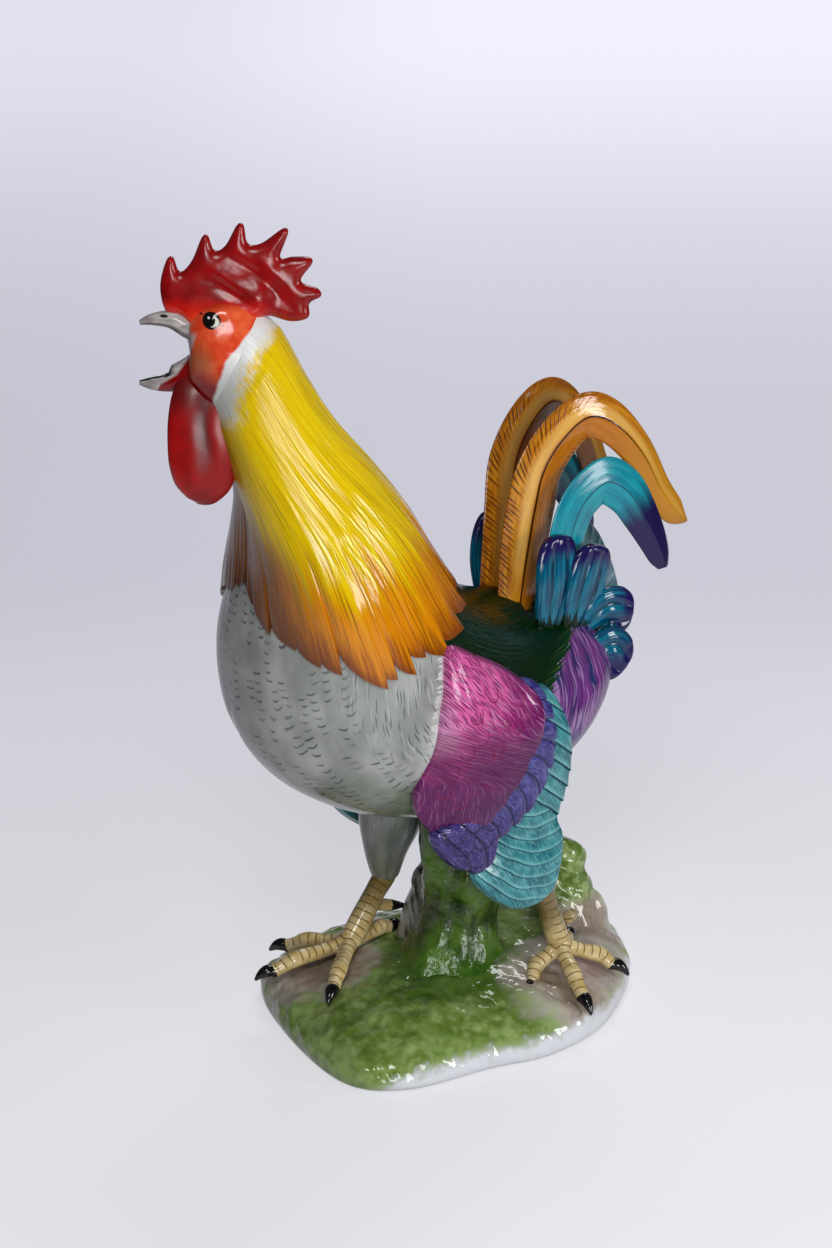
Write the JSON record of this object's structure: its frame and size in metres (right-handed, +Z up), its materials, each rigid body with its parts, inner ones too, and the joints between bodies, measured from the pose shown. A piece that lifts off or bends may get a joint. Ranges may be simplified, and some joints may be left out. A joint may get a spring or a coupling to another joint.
{
  "type": "porcelain rooster figurine",
  "caption": "Glazed porcelain rooster crowing on a mossy mound, propped by a tree stump, with arched tail feathers; stands on a flat base.",
  "frame": {"origin": "point on the mound's flat underside, below the stump", "axes": "+Z up, the bird's body faces -Y, its left side is +X"},
  "size_m": [0.137, 0.2458, 0.3622],
  "materials": {
    "moss_glaze": "glossy",
    "bark_glaze": "glossy",
    "grey_white_glaze": "glossy",
    "thigh_glaze": "glossy",
    "yellow_glaze": "glossy",
    "face_glaze": "glossy",
    "red_glaze": "glossy",
    "beak_glaze": "glossy",
    "tan_glaze": "glossy",
    "pink_glaze": "glossy",
    "violet_glaze": "glossy",
    "turquoise_glaze": "glossy",
    "gold_glaze": "glossy",
    "blue_glaze": "glossy"
  },
  "bodies": {
    "root": {"mound": "moss_glaze", "tree_stump": "bark_glaze", "trunk": "grey_white_glaze", "neck_hackle": "yellow_glaze", "head": "face_glaze", "comb": "red_glaze", "upper_beak": "beak_glaze", "lower_beak": "beak_glaze", "left_wattle": "red_glaze", "right_wattle": "red_glaze", "left_thigh": "thigh_glaze", "right_thigh": "thigh_glaze", "left_foot": "tan_glaze", "right_foot": "tan_glaze", "left_wing_shoulder": "pink_glaze", "right_wing_shoulder": "pink_glaze", "left_wing_band": "violet_glaze", "right_wing_band": "violet_glaze", "left_wing_flights": "turquoise_glaze", "right_wing_flights": "turquoise_glaze", "left_gold_sickle": "gold_glaze", "right_gold_sickle": "gold_glaze", "left_turquoise_sickle": "turquoise_glaze", "right_turquoise_sickle": "turquoise_glaze", "tail_fan": "blue_glaze", "left_tail_covert_1": "blue_glaze", "left_tail_covert_2": "blue_glaze", "left_tail_covert_3": "blue_glaze", "left_tail_covert_4": "blue_glaze", "right_tail_covert_1": "blue_glaze", "right_tail_covert_2": "blue_glaze", "right_tail_covert_3": "blue_glaze", "right_tail_covert_4": "blue_glaze"}
  },
  "joints": []
}
